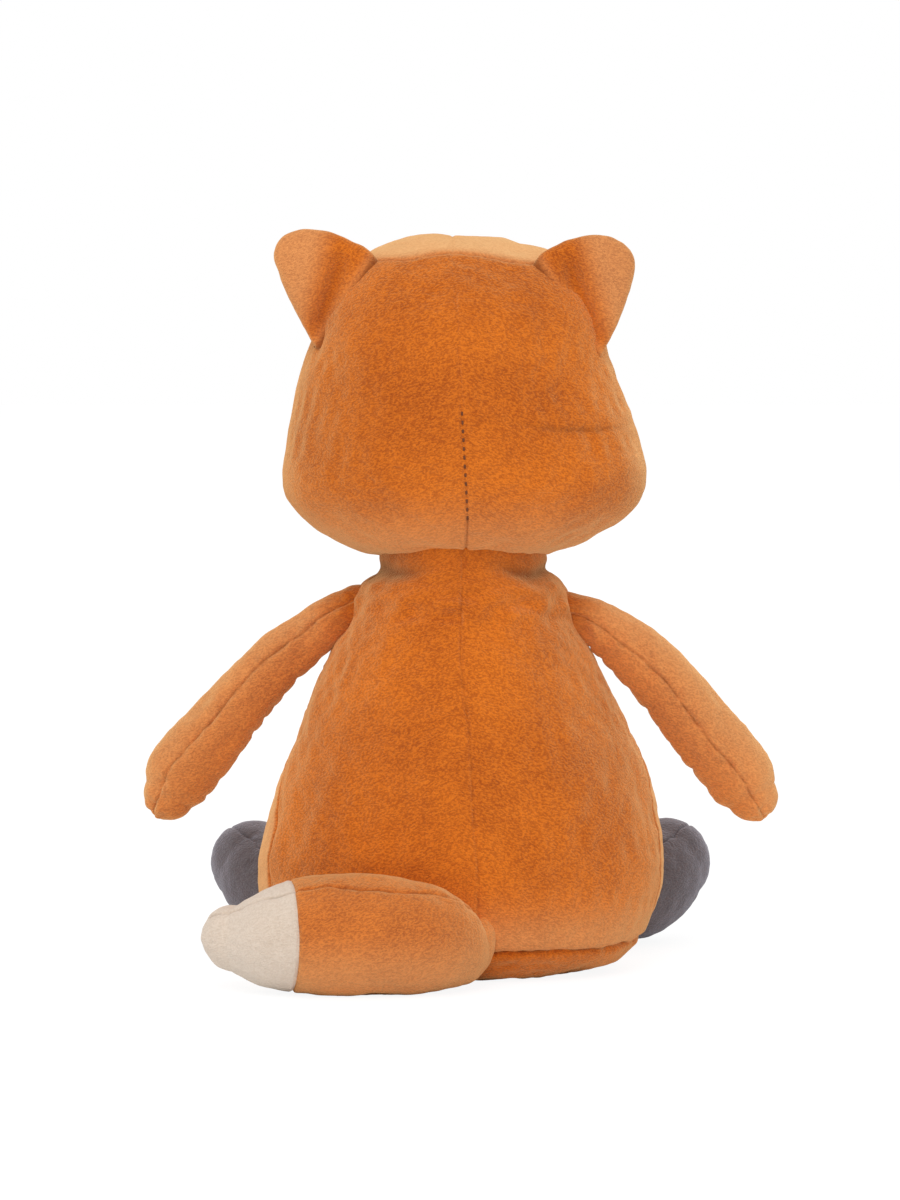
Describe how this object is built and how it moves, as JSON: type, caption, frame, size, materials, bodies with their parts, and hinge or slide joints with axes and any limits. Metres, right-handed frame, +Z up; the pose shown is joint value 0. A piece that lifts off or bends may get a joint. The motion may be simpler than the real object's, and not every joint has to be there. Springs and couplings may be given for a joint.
{
  "type": "plush fox",
  "caption": "Seated plush fox with a round body, turning head, fold-over ears, mitten arms, short splayed legs and a soft tail that curls round one side.",
  "frame": {"origin": "middle of the flat seat that the fox sits on", "axes": "+Z up, the fox faces -Y, its own left side is +X"},
  "size_m": [0.2216, 0.183, 0.2589],
  "materials": {
    "orange_plush": "short soft pile",
    "cream_plush": "short soft pile",
    "grey_plush": "short soft pile",
    "black_gloss_plastic": "polished",
    "black_nose_thread": "satin stitch",
    "white_washer_plastic": "moulded",
    "polyester_stuffing": "loose fibre",
    "pellet_bag_calico": "plain weave"
  },
  "bodies": {
    "torso": {"base_panel": "orange_plush", "belly_panel": "cream_plush", "pellet_bag": "pellet_bag_calico", "torso_back_left_panel": "orange_plush", "torso_back_right_panel": "orange_plush", "torso_side_left_panel": "orange_plush", "torso_side_right_panel": "orange_plush", "torso_stuffing": "polyester_stuffing"},
    "neck": {"neck_band": "orange_plush", "neck_stuffing": "polyester_stuffing"},
    "head": {"cheek_left_panel": "cream_plush", "cheek_right_panel": "cream_plush", "crown_left_panel": "orange_plush", "crown_right_panel": "orange_plush", "head_back_left_panel": "orange_plush", "head_back_right_panel": "orange_plush", "head_stuffing": "polyester_stuffing", "left_eye": "black_gloss_plastic", "left_eye_washer": "white_washer_plastic", "nose": "black_nose_thread", "right_eye": "black_gloss_plastic", "right_eye_washer": "white_washer_plastic"},
    "left_ear": {"left_ear_back_panel": "orange_plush", "left_ear_front_panel": "cream_plush", "left_ear_wadding": "polyester_stuffing"},
    "right_ear": {"right_ear_back_panel": "orange_plush", "right_ear_front_panel": "cream_plush", "right_ear_wadding": "polyester_stuffing"},
    "left_arm": {"left_arm_lower_panel": "orange_plush", "left_arm_stuffing": "polyester_stuffing", "left_arm_upper_panel": "orange_plush"},
    "right_arm": {"right_arm_lower_panel": "orange_plush", "right_arm_stuffing": "polyester_stuffing", "right_arm_upper_panel": "orange_plush"},
    "left_leg": {"left_foot_inner_panel": "grey_plush", "left_foot_outer_panel": "grey_plush", "left_leg_sleeve": "orange_plush", "left_leg_stuffing": "polyester_stuffing"},
    "right_leg": {"right_foot_inner_panel": "grey_plush", "right_foot_outer_panel": "grey_plush", "right_leg_sleeve": "orange_plush", "right_leg_stuffing": "polyester_stuffing"},
    "tail": {"tail_inner_panel": "orange_plush", "tail_outer_panel": "orange_plush", "tail_stuffing": "polyester_stuffing", "tail_tip_inner_panel": "cream_plush", "tail_tip_outer_panel": "cream_plush"}
  },
  "joints": [
    {"name": "neck_nod", "type": "hinge", "parent": "torso", "child": "neck", "pos_m": [0, 0, 0.1445], "axis": [1, 0, 0], "range_deg": [-12, 12], "stiffness_Nm_per_rad": 0.5},
    {"name": "head_turn", "type": "hinge", "parent": "neck", "child": "head", "pos_m": [0, 0, 0.1445], "axis": [0, 0, 1], "range_deg": [-20, 20], "stiffness_Nm_per_rad": 0.3},
    {"name": "left_ear_fold", "type": "hinge", "parent": "head", "child": "left_ear", "pos_m": [0.04154, 0.00908, 0.23575], "axis": [-0.5333, 0, 0.8459], "range_deg": [-14, 14], "stiffness_Nm_per_rad": 0.03},
    {"name": "right_ear_fold", "type": "hinge", "parent": "head", "child": "right_ear", "pos_m": [-0.04154, 0.00908, 0.23575], "axis": [0.5333, 0, 0.8459], "range_deg": [-14, 14], "stiffness_Nm_per_rad": 0.03},
    {"name": "left_arm_raise", "type": "hinge", "parent": "torso", "child": "left_arm", "pos_m": [0.03549, -0.00107, 0.12369], "axis": [0, -1, 0], "range_deg": [0, 55], "stiffness_Nm_per_rad": 0.08},
    {"name": "right_arm_raise", "type": "hinge", "parent": "torso", "child": "right_arm", "pos_m": [-0.03549, -0.00107, 0.12369], "axis": [0, 1, 0], "range_deg": [0, 55], "stiffness_Nm_per_rad": 0.08},
    {"name": "left_leg_lift", "type": "hinge", "parent": "torso", "child": "left_leg", "pos_m": [0.04443, -0.04163, 0.01895], "axis": [-0.749, -0.6626, 0], "range_deg": [-15, 30], "stiffness_Nm_per_rad": 0.12},
    {"name": "right_leg_lift", "type": "hinge", "parent": "torso", "child": "right_leg", "pos_m": [-0.04443, -0.04163, 0.01895], "axis": [-0.749, 0.6626, 0], "range_deg": [-15, 30], "stiffness_Nm_per_rad": 0.12},
    {"name": "tail_swing", "type": "hinge", "parent": "torso", "child": "tail", "pos_m": [0, 0.05332, 0.02108], "axis": [0, 0, 1], "range_deg": [0, 70], "stiffness_Nm_per_rad": 0.04}
  ]
}
